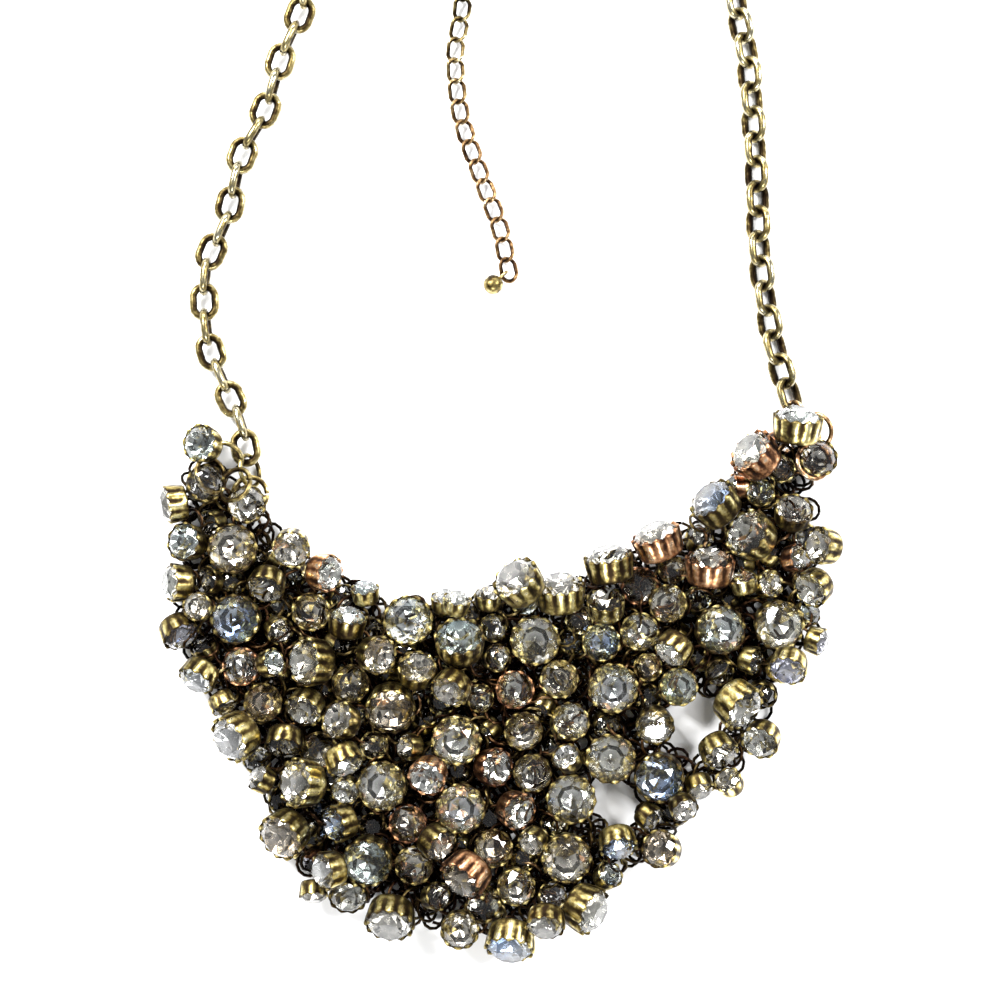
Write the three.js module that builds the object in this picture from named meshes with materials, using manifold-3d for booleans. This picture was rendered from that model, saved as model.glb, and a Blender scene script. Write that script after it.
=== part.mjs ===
// A bib necklace lying flat on a table: an oval cable chain, a crescent of crystals in fluted cups that hang on a
// net of jump rings, a plain clasp, and an extender chain with a ball drop.
// Millimetres. +Y points from the bib to the clasp, +Z up, and z = 0 is the table.
import * as THREE from 'three';
import { mergeVertices } from 'three/addons/utils/BufferGeometryUtils.js';
import Module from 'manifold-3d';

const wasm = await Module();
wasm.setup();

// ---- Driving dimensions ---------------------------------------------------------------------------------------

const GAP = 0.3; // kept between pieces that touch on the real necklace

// Crystals in their cups: rim radius, height of the cup's wall, height over the crystal's table.
const STONE_SIZES = {
  large: { radius: 4.5, wall: 4.2, height: 5.8 },
  medium: { radius: 3.5, wall: 3.3, height: 4.6 },
  small: { radius: 2.6, wall: 2.6, height: 3.6 },
};
const FOOT_RATIO = 0.84; // foot radius of a cup over its rim radius
const TABLE_RATIO = 0.6; // table radius of a crystal over its cup's rim radius
const CUP_WALL = 0.6;
const CUP_FLOOR = 0.8;
const CULET_RATIO = 0.3; // flat tip of the crystal under its girdle, over the rim radius
const OPEN_CUP_SIDES = 12;
const JOINED_CUP_SIDES = 8;

const SHANK_HALF = 0.6; // half the width of the shank that ties a cup to the net
const SHANK_SINK = 0.9; // how far a shank reaches into its cup
const BAR_REACH = 1.3; // corner of a bar from its middle, over its half width

const THREAD_RADIUS = 1.1; // one thread of joined jump rings
const THREAD_SIDES = 8;
const NET_TOP = 2 * THREAD_RADIUS;
const LINK_BAR_AT = [0.3, 0.8]; // where rings tie a thread to the next one, from its top

// Straps of cable chain, and the finer extender chain.
const STRAP_LINK = { length: 6.65, width: 5.1, wire: 1.15, pitch: 4.5, segments: 8, sides: 4 };
const EXTENDER_LINK = { length: 4.7, width: 3.3, wire: 0.6, pitch: 3.62, segments: 6, sides: 4 };

// The strap's hidden stretch is a plain round arc.
const ARC = { x: 3.5, y: 63.7, radius: 38.5, step: 15 };

const BALL_RADIUS = 1.75;
const JUMP_RING = { radius: 2.8, wire: 0.8 };
const CORNER_RING = { radius: 3.0, wire: 0.9 };
const CLASP = { hook: 3.2, eye: 2.5, span: 7.65, thick: 2.3, lifted: 1.55 };

// ---- Charts -----------------------------------------------------------------------------------------------------

// Threads of the net, from the bib's upper edge to its lower edge.
const THREADS = [
  { top: [-51, -16], foot: [-52.5, -53] },
  { top: [-43.8, -24], foot: [-45.5, -66] },
  { top: [-35.5, -35], foot: [-37.5, -80] },
  { top: [-27, -40.5], foot: [-28.5, -90] },
  { top: [-18, -43], foot: [-20, -97] },
  { top: [-9, -44.5], foot: [-10.5, -98] },
  { top: [0, -43.5], foot: [-0.5, -100] },
  { top: [9, -41.5], foot: [9, -96] },
  { top: [18, -37.5], foot: [16.5, -90] },
  { top: [27, -32], foot: [27, -74] },
  { top: [36, -25.5], foot: [35.5, -58.5] },
  { top: [44.5, -17.5], foot: [42, -64] },
  { top: [52.5, -14], foot: [51, -49] },
];
// One more thread runs along the lower edge, past the open spots, and isn't tied to its neighbours.
const EDGE_THREAD = { top: [40, -66.6], foot: [25.5, -81] };

// Places where the net is left open.
const OPEN_SPOTS = [
  { x: 34, y: -63, radius: 3.4 },
  { x: 20.5, y: -76.5, radius: 2.8 },
];

// Stones are charted by the middle of the stone in plan, how far the crystal leans from face-up, and the
// direction that it leans toward (degrees from +X, anticlockwise).
// Large crystals that are pieces of their own:
const OPEN_CUPS = [
  { size: 'large', x: -46.5, y: -32.5, lean: 8, toward: 120 },
  { size: 'large', x: -45.5, y: -45, lean: 10, toward: 200 },
  { size: 'large', x: 6, y: -48.5, lean: 8, toward: 60 },
  { size: 'large', x: 19, y: -56.5, lean: 6, toward: 300 },
  { size: 'large', x: -7.5, y: -65.5, lean: 8, toward: 250 },
  { size: 'large', x: 37, y: -46.5, lean: 10, toward: 20 },
  { size: 'large', x: 48.5, y: -45.5, lean: 12, toward: 300 },
  { size: 'large', x: 18, y: -69, lean: 8, toward: 90 },
  { size: 'large', x: -19.5, y: -74.5, lean: 10, toward: 160 },
  { size: 'large', x: -7, y: -77.5, lean: 8, toward: 20 },
  { size: 'large', x: 12.5, y: -76, lean: 10, toward: 130 },
  { size: 'large', x: 11.5, y: -86, lean: 8, toward: 280 },
  { size: 'large', x: -23, y: -86.5, lean: 18, toward: 250 },
  { size: 'large', x: -16.5, y: -45, lean: 12, toward: 110 },
  { size: 'large', x: 26, y: -72, lean: 15, toward: 230 },
  { size: 'large', x: 52, y: -10.5, lean: 72, toward: 85 },
  { size: 'large', x: -7, y: -48.5, lean: 42, toward: 95 },
  { size: 'large', x: 0, y: -100.5, lean: 58, toward: 262 },
];

// Stones with a place of their own that are joined along their threads:
const JOINED_STONES = [
  { size: 'large', x: 44.5, y: -16, lean: 60, toward: 140 },
  { size: 'large', x: 37.5, y: -24.5, lean: 62, toward: 135 },
  { size: 'large', x: 27.5, y: -31, lean: 72, toward: 112 },
  { size: 'large', x: 19, y: -35, lean: 74, toward: 100 },
  { size: 'large', x: 10.5, y: -40, lean: 66, toward: 95 },
  { size: 'large', x: 4.5, y: -39.5, lean: 52, toward: 130 },
  { size: 'large', x: 36.5, y: -35.5, lean: 68, toward: 88 },
  { size: 'large', x: 42.5, y: -30, lean: 45, toward: 150 },
  { size: 'large', x: -33, y: -52, lean: 50, toward: 178 },
  { size: 'large', x: -46, y: -65, lean: 52, toward: 212 },
  { size: 'large', x: -34.5, y: -73, lean: 48, toward: 175 },
  { size: 'large', x: -37, y: -81.5, lean: 42, toward: 222 },
  { size: 'large', x: -19, y: -60, lean: 28, toward: 268 },
  { size: 'large', x: 41.5, y: -59.5, lean: 58, toward: 318 },
  { size: 'large', x: 15, y: -93, lean: 62, toward: 335 },
  { size: 'large', x: -6, y: -89, lean: 60, toward: 228 },
  { size: 'large', x: -19, y: -96.5, lean: 48, toward: 262 },
  { size: 'medium', x: -52, y: -14, lean: 28, toward: 165 },
  { size: 'medium', x: -57, y: -24.5, lean: 78, toward: 190 },
  { size: 'medium', x: -45.5, y: -26, lean: 10, toward: 60 },
  { size: 'medium', x: -53, y: -29.5, lean: 30, toward: 170 },
  { size: 'medium', x: -55, y: -37, lean: 65, toward: 180 },
  { size: 'medium', x: -30.5, y: -36.5, lean: 55, toward: 350 },
  { size: 'medium', x: -33, y: -43.5, lean: 8, toward: 60 },
  { size: 'medium', x: -52.5, y: -54.5, lean: 60, toward: 240 },
  { size: 'medium', x: -26, y: -56, lean: 10, toward: 120 },
  { size: 'medium', x: 2.5, y: -57, lean: 8, toward: 40 },
  { size: 'medium', x: 4, y: -64, lean: 8, toward: 300 },
  { size: 'medium', x: 10.5, y: -55, lean: 10, toward: 200 },
  { size: 'medium', x: 50, y: -26, lean: 38, toward: 80 },
  { size: 'medium', x: 29.5, y: -42, lean: 15, toward: 160 },
  { size: 'medium', x: 50, y: -51, lean: 48, toward: 250 },
  { size: 'medium', x: 31, y: -56.5, lean: 10, toward: 30 },
  { size: 'medium', x: 38, y: -67.5, lean: 55, toward: 300 },
  { size: 'medium', x: 7, y: -70, lean: 10, toward: 240 },
  { size: 'medium', x: -1, y: -84.5, lean: 8, toward: 150 },
  { size: 'medium', x: -15, y: -87.5, lean: 8, toward: 60 },
  { size: 'medium', x: -28, y: -80, lean: 55, toward: 195 },
  { size: 'medium', x: -7, y: -98.5, lean: 10, toward: 280 },
  { size: 'medium', x: 7, y: -97.5, lean: 50, toward: 265 },
  { size: 'medium', x: 20.5, y: -83.5, lean: 55, toward: 280 },
  { size: 'small', x: 33.5, y: -72.5, lean: 58, toward: 288 },
  { size: 'small', x: 26, y: -79, lean: 62, toward: 320 },
  { size: 'small', x: 30, y: -75.5, lean: 40, toward: 300 },
  { size: 'small', x: 44, y: -21, lean: 15, toward: 130 },
  { size: 'small', x: -50, y: -42.5, lean: 12, toward: 140 },
  { size: 'small', x: 46.5, y: -39, lean: 30, toward: 20 },
  { size: 'small', x: 51.5, y: -34, lean: 50, toward: 10 },
  { size: 'small', x: -23.5, y: -40, lean: 62, toward: 95 },
  { size: 'small', x: -12, y: -41.5, lean: 60, toward: 90 },
  { size: 'small', x: -9.3, y: -41.8, lean: 62, toward: 80 },
  { size: 'small', x: -2, y: -41, lean: 64, toward: 90 },
];

// The straps in plan, from the bib to the start of the arc.
const LEFT_STRAP = [
  [-44.8, -14.5], [-45.6, -10.3], [-48.8, -2.8], [-51.4, 4.2], [-51.8, 17.3],
  [-48.3, 26], [-45.5, 37.4], [-41.8, 44.5], [-38.5, 55],
];
const RIGHT_STRAP = [
  [51, -5.2], [48.1, 5.1], [45.9, 20], [45.5, 30.5], [45, 41], [43.8, 55],
];
// The extender from the clasp ring to its last link; a third number lifts it off the table.
const EXTENDER = [
  [-5.1, 99.4, 2.7], [-5.3, 96.7, 0.35], [-5.5, 93, 0], [-6.2, 78], [-6.7, 63.7], [-7.9, 55.8], [-7.5, 48],
  [-6.5, 42.7], [-3.5, 34], [0, 24.3], [1.5, 17],
];
const BALL_AT = [-1.2, 14.4];
const CLASP_RING_AT = [-5, 101.6];

// ---- Materials --------------------------------------------------------------------------------------------------

const finish = (color, roughness, metalness) => new THREE.MeshStandardMaterial({ color, roughness, metalness });
const BRASS = finish(0xb39b56, 0.4, 1);
const DARK_BRASS = finish(0x6f6238, 0.5, 1);
const COPPER = finish(0x9a6f52, 0.45, 1);
const CRYSTAL = finish(0xcfd6d6, 0.1, 0);

// ---- Solids and booleans ----------------------------------------------------------------------------------------

function toSolid(geometry, matrix = new THREE.Matrix4()) {
  const bare = geometry.clone().applyMatrix4(matrix);
  bare.deleteAttribute('normal');
  bare.deleteAttribute('uv');
  const merged = mergeVertices(bare, 1e-4);
  return new wasm.Manifold(new wasm.Mesh({
    numProp: 3,
    vertProperties: new Float32Array(merged.attributes.position.array),
    triVerts: new Uint32Array(merged.index.array),
  }));
}

function toMesh(solid, name, material) {
  const { vertProperties, triVerts } = solid.getMesh();
  const geometry = new THREE.BufferGeometry();
  geometry.setAttribute('position', new THREE.BufferAttribute(vertProperties, 3));
  geometry.setIndex(new THREE.BufferAttribute(triVerts, 1));
  geometry.computeVertexNormals();
  const mesh = new THREE.Mesh(geometry, material);
  mesh.name = name;
  return mesh;
}

const joined = (solids) => solids.reduce((sum, solid) => sum.add(solid));
const radians = THREE.MathUtils.degToRad;
const UP = new THREE.Vector3(0, 0, 1);

// A three-sided bar between two points, as a geometry already in place. It stays inside its square block.
function bar(from, to, half) {
  const along = to.clone().sub(from);
  const reach = BAR_REACH * half;
  const geometry = new THREE.CylinderGeometry(reach, reach, along.length(), 3).rotateX(Math.PI / 2);
  const turn = new THREE.Quaternion().setFromUnitVectors(UP, along.normalize());
  const middle = from.clone().add(to).multiplyScalar(0.5);
  return geometry.applyMatrix4(new THREE.Matrix4().compose(middle, turn, new THREE.Vector3(1, 1, 1)));
}

// A solid turned about +Z from a profile of [radius, height] points.
function turned(profile, sides) {
  const points = profile.map(([radius, height]) => new THREE.Vector2(radius, height));
  return new THREE.LatheGeometry(points, sides).rotateX(Math.PI / 2);
}

// ---- Clearance between convex pieces ----------------------------------------------------------------------------

// A convex block is its corner points and the directions that its faces look in.
function barBlock(from, to, half, owner) {
  const along = to.clone().sub(from).normalize();
  const turn = new THREE.Quaternion().setFromUnitVectors(UP, along);
  const side = new THREE.Vector3(1, 0, 0).applyQuaternion(turn);
  const across = new THREE.Vector3(0, 1, 0).applyQuaternion(turn);
  const points = [];
  for (const end of [from, to]) {
    for (const i of [-half, half]) {
      for (const j of [-half, half]) points.push(end.clone().addScaledVector(side, i).addScaledVector(across, j));
    }
  }
  return block(points, [along, side, across], owner);
}

function block(points, directions, owner) {
  const centre = points.reduce((sum, p) => sum.add(p), new THREE.Vector3()).divideScalar(points.length);
  const reach = Math.max(...points.map((p) => p.distanceTo(centre)));
  return { points, directions, owner, centre, reach };
}

// The stone's block: foot, rim and table of its cup and crystal, about the stone's middle.
function stoneBlock(shape, sides, frame, owner) {
  const { radius, wall, height } = shape;
  const rings = [[FOOT_RATIO * radius, 0], [radius, wall], [TABLE_RATIO * radius, height]];
  const points = [];
  const directions = [new THREE.Vector3(0, 0, 1)];
  for (let k = 0; k < sides; k += 1) {
    const corner = (2 * Math.PI * k) / sides;
    const face = corner + Math.PI / sides;
    for (const [r, z] of rings) {
      points.push(new THREE.Vector3(r * Math.cos(corner), r * Math.sin(corner), z - height / 2));
    }
    for (const [rise, slope] of [[wall, -(1 - FOOT_RATIO) * radius], [height - wall, (1 - TABLE_RATIO) * radius]]) {
      directions.push(new THREE.Vector3(rise * Math.cos(face), rise * Math.sin(face), slope).normalize());
    }
  }
  const turn = new THREE.Matrix4().extractRotation(frame);
  return block(points.map((p) => p.applyMatrix4(frame)), directions.map((d) => d.applyMatrix4(turn)), owner);
}

function gapAlong(direction, a, b) {
  let [lowA, highA, lowB, highB] = [Infinity, -Infinity, Infinity, -Infinity];
  for (const p of a.points) {
    const t = p.dot(direction);
    lowA = Math.min(lowA, t);
    highA = Math.max(highA, t);
  }
  for (const p of b.points) {
    const t = p.dot(direction);
    lowB = Math.min(lowB, t);
    highB = Math.max(highB, t);
  }
  return Math.max(lowB - highA, lowA - highB);
}

function isClear(a, b) {
  if (a.centre.distanceTo(b.centre) > a.reach + b.reach + GAP) return true;
  const between = b.centre.clone().sub(a.centre).normalize();
  const slant = a.directions[0].clone().cross(b.directions[0]);
  const tries = [between, ...a.directions, ...b.directions];
  if (slant.lengthSq() > 1e-6) tries.push(slant.normalize());
  return tries.some((direction) => gapAlong(direction, a, b) >= GAP - 1e-6);
}

// ---- The net ----------------------------------------------------------------------------------------------------

const netPoint = ([x, y]) => new THREE.Vector3(x, y, THREAD_RADIUS);
const threads = [...THREADS, EDGE_THREAD].map((row, index) => ({
  owner: `strand_${String(index + 1).padStart(2, '0')}`,
  top: netPoint(row.top),
  foot: netPoint(row.foot),
}));

function nearestOnThread(thread, x, y) {
  const line = new THREE.Line3(thread.top, thread.foot);
  return line.closestPointToPoint(new THREE.Vector3(x, y, THREAD_RADIUS), true, new THREE.Vector3());
}

function nearestThread(x, y) {
  const spot = new THREE.Vector3(x, y, THREAD_RADIUS);
  const far = (thread) => nearestOnThread(thread, x, y).distanceTo(spot);
  return threads.reduce((best, thread) => (far(thread) < far(best) ? thread : best));
}

const tube = new THREE.Shape().absarc(0, 0, THREAD_RADIUS, 0, 2 * Math.PI);
function threadGeometry({ top, foot }) {
  return new THREE.ExtrudeGeometry(tube, {
    steps: 1,
    curveSegments: THREAD_SIDES,
    extrudePath: new THREE.LineCurve3(top, foot),
  });
}

const blocks = [];
const solids = new Map();
for (const thread of threads) {
  blocks.push(barBlock(thread.top, thread.foot, THREAD_RADIUS, thread.owner));
  solids.set(thread.owner, [toSolid(threadGeometry(thread))]);
}

function addBar(from, to, half, owner) {
  blocks.push(barBlock(from, to, half, owner));
  solids.get(owner).push(toSolid(bar(from, to, half)));
}

// Half of each tie belongs to either thread, and the halves meet end to end.
function tieThreads(one, next) {
  for (const part of LINK_BAR_AT) {
    const start = one.top.clone().lerp(one.foot, part);
    const end = next.top.clone().lerp(next.foot, part);
    const half = end.clone().sub(start);
    half.setLength(half.length() / 2 - GAP / 2);
    addBar(start, start.clone().add(half), SHANK_HALF, one.owner);
    addBar(end, end.clone().sub(half), SHANK_HALF, next.owner);
  }
}
threads.slice(1, THREADS.length).forEach((next, index) => tieThreads(threads[index], next));

// ---- Chain links and rings --------------------------------------------------------------------------------------

// A stadium-shaped link lying in XY, long along X: a ring with few sides, pulled apart at its middle.
function linkGeometry({ length, width, wire, segments, sides }) {
  const flat = Math.cos(Math.PI / segments);
  const flatEnds = segments % 4 === 0;
  const geometry = new THREE.TorusGeometry((width - wire) / 2, wire / 2, sides, segments);
  geometry.rotateZ(flatEnds ? Math.PI / segments : 0).scale(flatEnds ? 1 / flat : 1, 1 / flat, 1);
  const place = geometry.attributes.position;
  for (let i = 0; i < place.count; i += 1) {
    place.setX(i, place.getX(i) + (Math.sign(place.getX(i)) * (length - width)) / 2);
  }
  return geometry;
}

// A frame whose X runs along a direction and whose Y is turned about it by the roll, from level.
function linkFrame(centre, along, roll) {
  const x = along.clone().normalize();
  const level = UP.clone().cross(x).normalize();
  const y = level.applyAxisAngle(x, radians(roll));
  return new THREE.Matrix4().makeBasis(x, y, x.clone().cross(y)).setPosition(centre);
}

const restHeight = ({ width, wire }, twist) => wire / 2 + ((width - wire) / 2) * Math.cos(radians(twist));

// Links joined along a route in plan. Each is a quarter turn on from the last, and the twist adds to that.
function chainSolid(link, route, firstRoll, twistAt) {
  const points = route.map(([x, y, lift = 0]) => new THREE.Vector3(x, y, lift));
  const curve = new THREE.CatmullRomCurve3(points, false, 'centripetal');
  const count = Math.round(curve.getLength() / link.pitch) + 1;
  const links = [];
  for (let i = 0; i < count; i += 1) {
    const u = i / (count - 1);
    const centre = curve.getPointAt(u);
    centre.z += restHeight(link, Math.abs(twistAt(u)));
    const frame = linkFrame(centre, curve.getTangentAt(u), firstRoll + twistAt(u) + 90 * i);
    links.push(toSolid(linkGeometry(link), frame));
  }
  return joined(links);
}

function arcPoints(fromAngle, toAngle) {
  const points = [];
  const step = Math.sign(toAngle - fromAngle) * ARC.step;
  for (let angle = fromAngle; Math.abs(toAngle - angle) > ARC.step / 2; angle += step) {
    points.push([ARC.x + ARC.radius * Math.cos(radians(angle)), ARC.y + ARC.radius * Math.sin(radians(angle))]);
  }
  return points;
}

function ringGeometry({ radius, wire }) {
  return new THREE.TorusGeometry(radius, wire / 2, 6, 12);
}

// ---- The rings at the bib's corners -----------------------------------------------------------------------------

const CORNER_RINGS = [
  { owner: 'strand_02', at: [-44, -22.7, 2.15] },
  { owner: 'strand_13', at: [53.3, -13.3, 2.15] },
];
for (const { owner, at } of CORNER_RINGS) {
  const frame = new THREE.Matrix4().setPosition(...at);
  solids.get(owner).push(toSolid(ringGeometry(CORNER_RING), frame));
}

// ---- Seating the stones -----------------------------------------------------------------------------------------

// The room that the strap ends and the rings at the corners take, as upright bars that stones stay clear of.
const KEEP_OUT = [
  { x: -44.8, y: -14.5, half: 3.4, height: 3.2 },
  { x: -44, y: -18.6, half: 2.4, height: 5.4 },
  { x: 51, y: -5.2, half: 3.4, height: 4 },
  { x: 52.1, y: -9.2, half: 2.6, height: 4.8 },
];
for (const { x, y, half, height } of KEEP_OUT) {
  blocks.push(barBlock(new THREE.Vector3(x, y, 0), new THREE.Vector3(x, y, height), half, 'strap'));
}

function stoneFrame({ lean, toward }, middle) {
  const turn = new THREE.Euler(0, radians(lean), radians(toward), 'ZYX');
  return new THREE.Matrix4().makeRotationFromEuler(turn).setPosition(middle);
}

// A stone's blocks with its shank, at a given height over the net.
function poseStone(stone, own) {
  const shape = STONE_SIZES[stone.size];
  const sides = own ? OPEN_CUP_SIDES : JOINED_CUP_SIDES;
  const level = stoneBlock(shape, sides, stoneFrame(stone, new THREE.Vector3()), '');
  const lowest = Math.min(...level.points.map((p) => p.z));
  const middle = new THREE.Vector3(stone.x, stone.y, NET_TOP + GAP + stone.lift - lowest);
  const frame = stoneFrame(stone, middle);
  const root = new THREE.Vector3(0, 0, SHANK_SINK - shape.height / 2).applyMatrix4(frame);
  const thread = nearestThread(root.x, root.y);
  const owner = own ?? thread.owner;
  const knot = nearestOnThread(thread, root.x, root.y);
  const pieces = [stoneBlock(shape, sides, frame, owner)];
  if (own) {
    const shankFoot = new THREE.Vector3(root.x, root.y, NET_TOP + GAP);
    const tie = new THREE.Vector3(root.x, root.y, THREAD_RADIUS);
    if (root.z - shankFoot.z > GAP) pieces.push(barBlock(root, shankFoot, SHANK_HALF, owner));
    if (tie.distanceTo(knot) > THREAD_RADIUS) pieces.push(barBlock(knot, tie, SHANK_HALF, thread.owner));
    return { stone, frame, shape, owner, thread, root, shankFoot, knot, tie, pieces };
  }
  pieces.push(barBlock(root, knot, SHANK_HALF, owner));
  return { stone, frame, shape, owner, thread, root, knot, pieces };
}

// A stone's own thread may run into it, because the two are joined.
function fits({ pieces }) {
  return pieces.every((piece, index) => blocks.every((other) => {
    const sameSolid = piece.owner === other.owner;
    if (sameSolid && (index > 0 || other.points.length === 8)) return true;
    return isClear(piece, other);
  }));
}

// Small moves tried in turn, the least first: a slide in plan and a lift off the net.
function moves(farthest, highest) {
  const list = [];
  for (let lift = 0; lift <= highest; lift += 0.5) {
    for (let slide = 0; slide <= farthest; slide += 0.6) {
      for (let turn = 0; turn < (slide ? 8 : 1); turn += 1) list.push({ slide, turn: turn * 45, lift });
    }
  }
  return list.sort((a, b) => a.slide + a.lift - b.slide - b.lift);
}
const CHARTED_MOVES = moves(2.4, 5);
const FILL_MOVES = moves(1.2, 2.5);

function seat(stone, tries, own) {
  for (const { slide, turn, lift } of tries) {
    const x = stone.x + slide * Math.cos(radians(turn));
    const y = stone.y + slide * Math.sin(radians(turn));
    const posed = poseStone({ ...stone, x, y, lift }, own);
    if (fits(posed)) {
      blocks.push(...posed.pieces);
      return posed;
    }
  }
  return null;
}

// ---- Open cups and their crystals -------------------------------------------------------------------------------

function cupGeometry({ radius, wall, height }) {
  const base = -height / 2;
  return turned([
    [0, base],
    [FOOT_RATIO * radius, base],
    [radius, base + wall],
    [radius - CUP_WALL, base + wall],
    [FOOT_RATIO * radius - CUP_WALL, base + CUP_FLOOR],
    [0, base + CUP_FLOOR],
  ], OPEN_CUP_SIDES);
}

function crystalGeometry({ radius, wall, height }) {
  const base = -height / 2;
  return turned([
    [0, base + CUP_FLOOR + GAP],
    [CULET_RATIO * radius, base + CUP_FLOOR + GAP],
    [radius - CUP_WALL - GAP, base + wall],
    [TABLE_RATIO * radius, base + height],
    [0, base + height],
  ], OPEN_CUP_SIDES);
}

const necklace = new THREE.Group();

OPEN_CUPS.forEach((stone, index) => {
  const number = String(index + 1).padStart(2, '0');
  const posed = seat(stone, CHARTED_MOVES, `setting_${number}`);
  if (!posed) throw new Error(`no room for setting_${number}`);
  const { frame, shape, root, shankFoot, tie, knot, thread } = posed;
  const cup = [toSolid(cupGeometry(shape), frame)];
  if (root.z - shankFoot.z > GAP) {
    const shank = toSolid(bar(root, shankFoot, SHANK_HALF));
    cup.push(shank.subtract(toSolid(crystalGeometry({ ...shape, radius: shape.radius + GAP }), frame)));
  }
  if (tie.distanceTo(knot) > THREAD_RADIUS) solids.get(thread.owner).push(toSolid(bar(knot, tie, SHANK_HALF)));
  necklace.add(toMesh(joined(cup), `setting_${number}`, BRASS));
  necklace.add(toMesh(toSolid(crystalGeometry(shape), frame), `crystal_${number}`, CRYSTAL));
});

// ---- Stones joined along the threads ----------------------------------------------------------------------------

function joinedStone({ radius, wall, height }) {
  const base = -height / 2;
  return turned([
    [0, base],
    [FOOT_RATIO * radius, base],
    [radius, base + wall],
    [TABLE_RATIO * radius, base + height],
    [0, base + height],
  ], JOINED_CUP_SIDES);
}

function joinStone(posed) {
  const { shape, frame, root, knot, owner } = posed;
  solids.get(owner).push(toSolid(joinedStone(shape), frame), toSolid(bar(root, knot, SHANK_HALF)));
}

for (const stone of JOINED_STONES) {
  const posed = seat(stone, CHARTED_MOVES);
  if (!posed) throw new Error(`no room for the stone at ${stone.x}, ${stone.y}`);
  joinStone(posed);
}

// Steady pseudo-random numbers from 0 to 1.
function scatter(index, salt) {
  const wave = Math.sin(index * 127.1 + salt * 311.7) * 43758.5453;
  return wave - Math.floor(wave);
}

const FILL_STEP = 3.3;
const FILL_SIDES = [0, 3.1, -3.1];

// The rest of the bib: stones along each thread, wherever there is still room.
function fillThreads(size, salt) {
  let index = 0;
  for (const { top, foot } of threads) {
    const along = foot.clone().sub(top);
    const across = new THREE.Vector3(-along.y, along.x, 0).normalize();
    for (let run = -2; run < along.length() + 2; run += FILL_STEP) {
      for (const side of FILL_SIDES) {
        index += 1;
        const spot = top.clone().addScaledVector(along.clone().normalize(), run).addScaledVector(across, side);
        const stone = {
          size,
          x: spot.x,
          y: spot.y,
          lean: 70 * scatter(index, salt),
          toward: 360 * scatter(index, salt + 1),
        };
        const { radius } = STONE_SIZES[size];
        const open = OPEN_SPOTS.some((hole) => Math.hypot(hole.x - spot.x, hole.y - spot.y) < hole.radius + radius);
        const posed = open ? null : seat(stone, FILL_MOVES);
        if (posed) joinStone(posed);
      }
    }
  }
}
fillThreads('medium', 3);
fillThreads('small', 7);

const SIMPLIFY = 0.02;
for (const { owner } of threads) {
  const parts = solids.get(owner);
  necklace.add(toMesh(joined(parts).simplify(SIMPLIFY), owner, DARK_BRASS));
}

// ---- Straps, extender and clasp ---------------------------------------------------------------------------------

const CLASP_RING_TILT = 120;
const EYE_WALL = 0.7;
const [ringX, ringY] = CLASP_RING_AT;
const claspStart = ringX + 0.8;
const eyeX = claspStart + CLASP.hook + CLASP.span;

// The last link of a strap lies inside the piece that it hooks, so its centre is most of half a link away.
const hookReach = (STRAP_LINK.length - STRAP_LINK.wire) / 2;
const leftEnd = [ringX - 1.35 - hookReach * 0.943, ringY - 0.1 - hookReach * 0.334];
const rightEnd = [eyeX + 0.3 + hookReach * 0.99, ringY - hookReach * 0.14];

const left = chainSolid(
  STRAP_LINK,
  [...LEFT_STRAP, ...arcPoints(180, 112), leftEnd],
  0,
  (u) => -45 * THREE.MathUtils.smoothstep(u, 0.6, 1),
);
necklace.add(toMesh(left, 'chain_left', BRASS));

const right = chainSolid(STRAP_LINK, [...RIGHT_STRAP, ...arcPoints(0, 80), rightEnd], 0, () => 45);
necklace.add(toMesh(right, 'chain_right', BRASS));

const extender = chainSolid(
  EXTENDER_LINK,
  EXTENDER,
  90,
  (u) => 45 * Math.min(1, 6 * u, 6 * (1 - u)),
);
necklace.add(toMesh(extender, 'extender_chain', COPPER));

function claspSolid() {
  const lean = Math.acos((CLASP.hook - CLASP.eye) / CLASP.span);
  const outline = new THREE.Shape();
  outline.absarc(CLASP.hook, 0, CLASP.hook, lean, 2 * Math.PI - lean);
  outline.absarc(CLASP.hook + CLASP.span, 0, CLASP.eye, -lean, lean);
  outline.holes.push(new THREE.Path().absarc(CLASP.hook + 0.15, 0, CLASP.hook - EYE_WALL - 0.05, 0, 2 * Math.PI));
  outline.holes.push(new THREE.Path().absarc(CLASP.hook + CLASP.span, 0, CLASP.eye - EYE_WALL, 0, 2 * Math.PI));
  const plate = new THREE.ExtrudeGeometry(outline, { depth: CLASP.thick, bevelEnabled: false, curveSegments: 8 });
  const relief = (x) => new THREE.Matrix4().setPosition(x, 0, CLASP.lifted / 2 - 0.5);
  const cutter = new THREE.BoxGeometry(4, 8, CLASP.lifted + 1);
  return toSolid(plate)
    .subtract(toSolid(cutter, relief(1)))
    .subtract(toSolid(cutter, relief(CLASP.hook + CLASP.span + 0.5)))
    .translate(claspStart, ringY, 0);
}
necklace.add(toMesh(claspSolid(), 'clasp', BRASS));

const alongX = new THREE.Vector3(1, 0, 0);
const claspRing = linkFrame(new THREE.Vector3(ringX, ringY, 2.9), alongX, CLASP_RING_TILT);
necklace.add(toMesh(toSolid(ringGeometry({ radius: 2.9, wire: 0.8 }), claspRing), 'clasp_ring', BRASS));

const JUMP_RINGS = [
  { name: 'jump_ring_left', at: [-44, -18.6, 2.9], along: [-0.2, 1, 0], roll: 60 },
  { name: 'jump_ring_right', at: [52.1, -9.2, 2.9], along: [-0.28, 1, 0], roll: -60 },
];
for (const { name, at, along, roll } of JUMP_RINGS) {
  const frame = linkFrame(new THREE.Vector3(...at), new THREE.Vector3(...along), roll);
  necklace.add(toMesh(toSolid(ringGeometry(JUMP_RING), frame), name, BRASS));
}

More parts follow.
